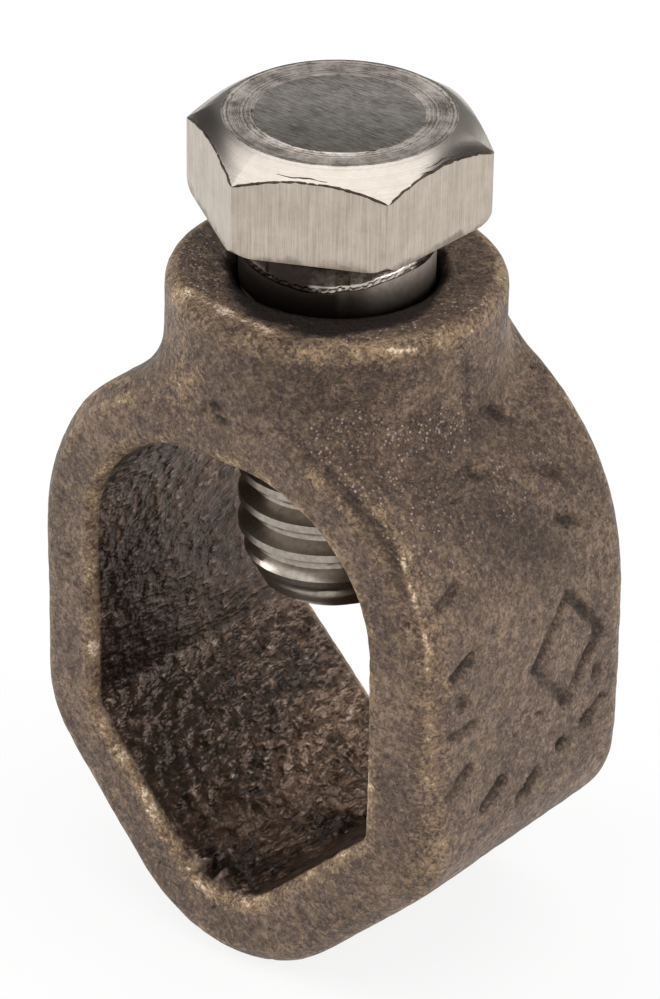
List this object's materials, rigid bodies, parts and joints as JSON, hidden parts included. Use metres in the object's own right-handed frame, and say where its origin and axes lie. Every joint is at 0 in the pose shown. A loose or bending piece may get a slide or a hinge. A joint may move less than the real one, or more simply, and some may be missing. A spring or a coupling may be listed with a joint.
{
  "type": "ground rod clamp",
  "caption": "Cast bronze clamp with a vee seat for a ground rod, closed by a hex-head bolt through a boss on top.",
  "frame": {"origin": "axis of the rod when it lies in the vee seat, midway between the front and rear faces, on the axis of the bolt", "axes": "+Y along the rod, +Z along the bolt towards its head, X across the opening"},
  "size_m": [0.0256, 0.0166, 0.0439],
  "materials": {
    "bronze": "sand-cast, dull brown patina with golden worn edges",
    "stainless": "turned and brushed stainless steel"
  },
  "bodies": {
    "body": {"clamp_body": "bronze"},
    "bolt": {"clamp_bolt": "stainless"}
  },
  "joints": [
    {"name": "bolt_travel", "type": "slide", "parent": "body", "child": "bolt", "axis": [0, 0, 1], "range_m": [-0.003, 0.0092]}
  ]
}
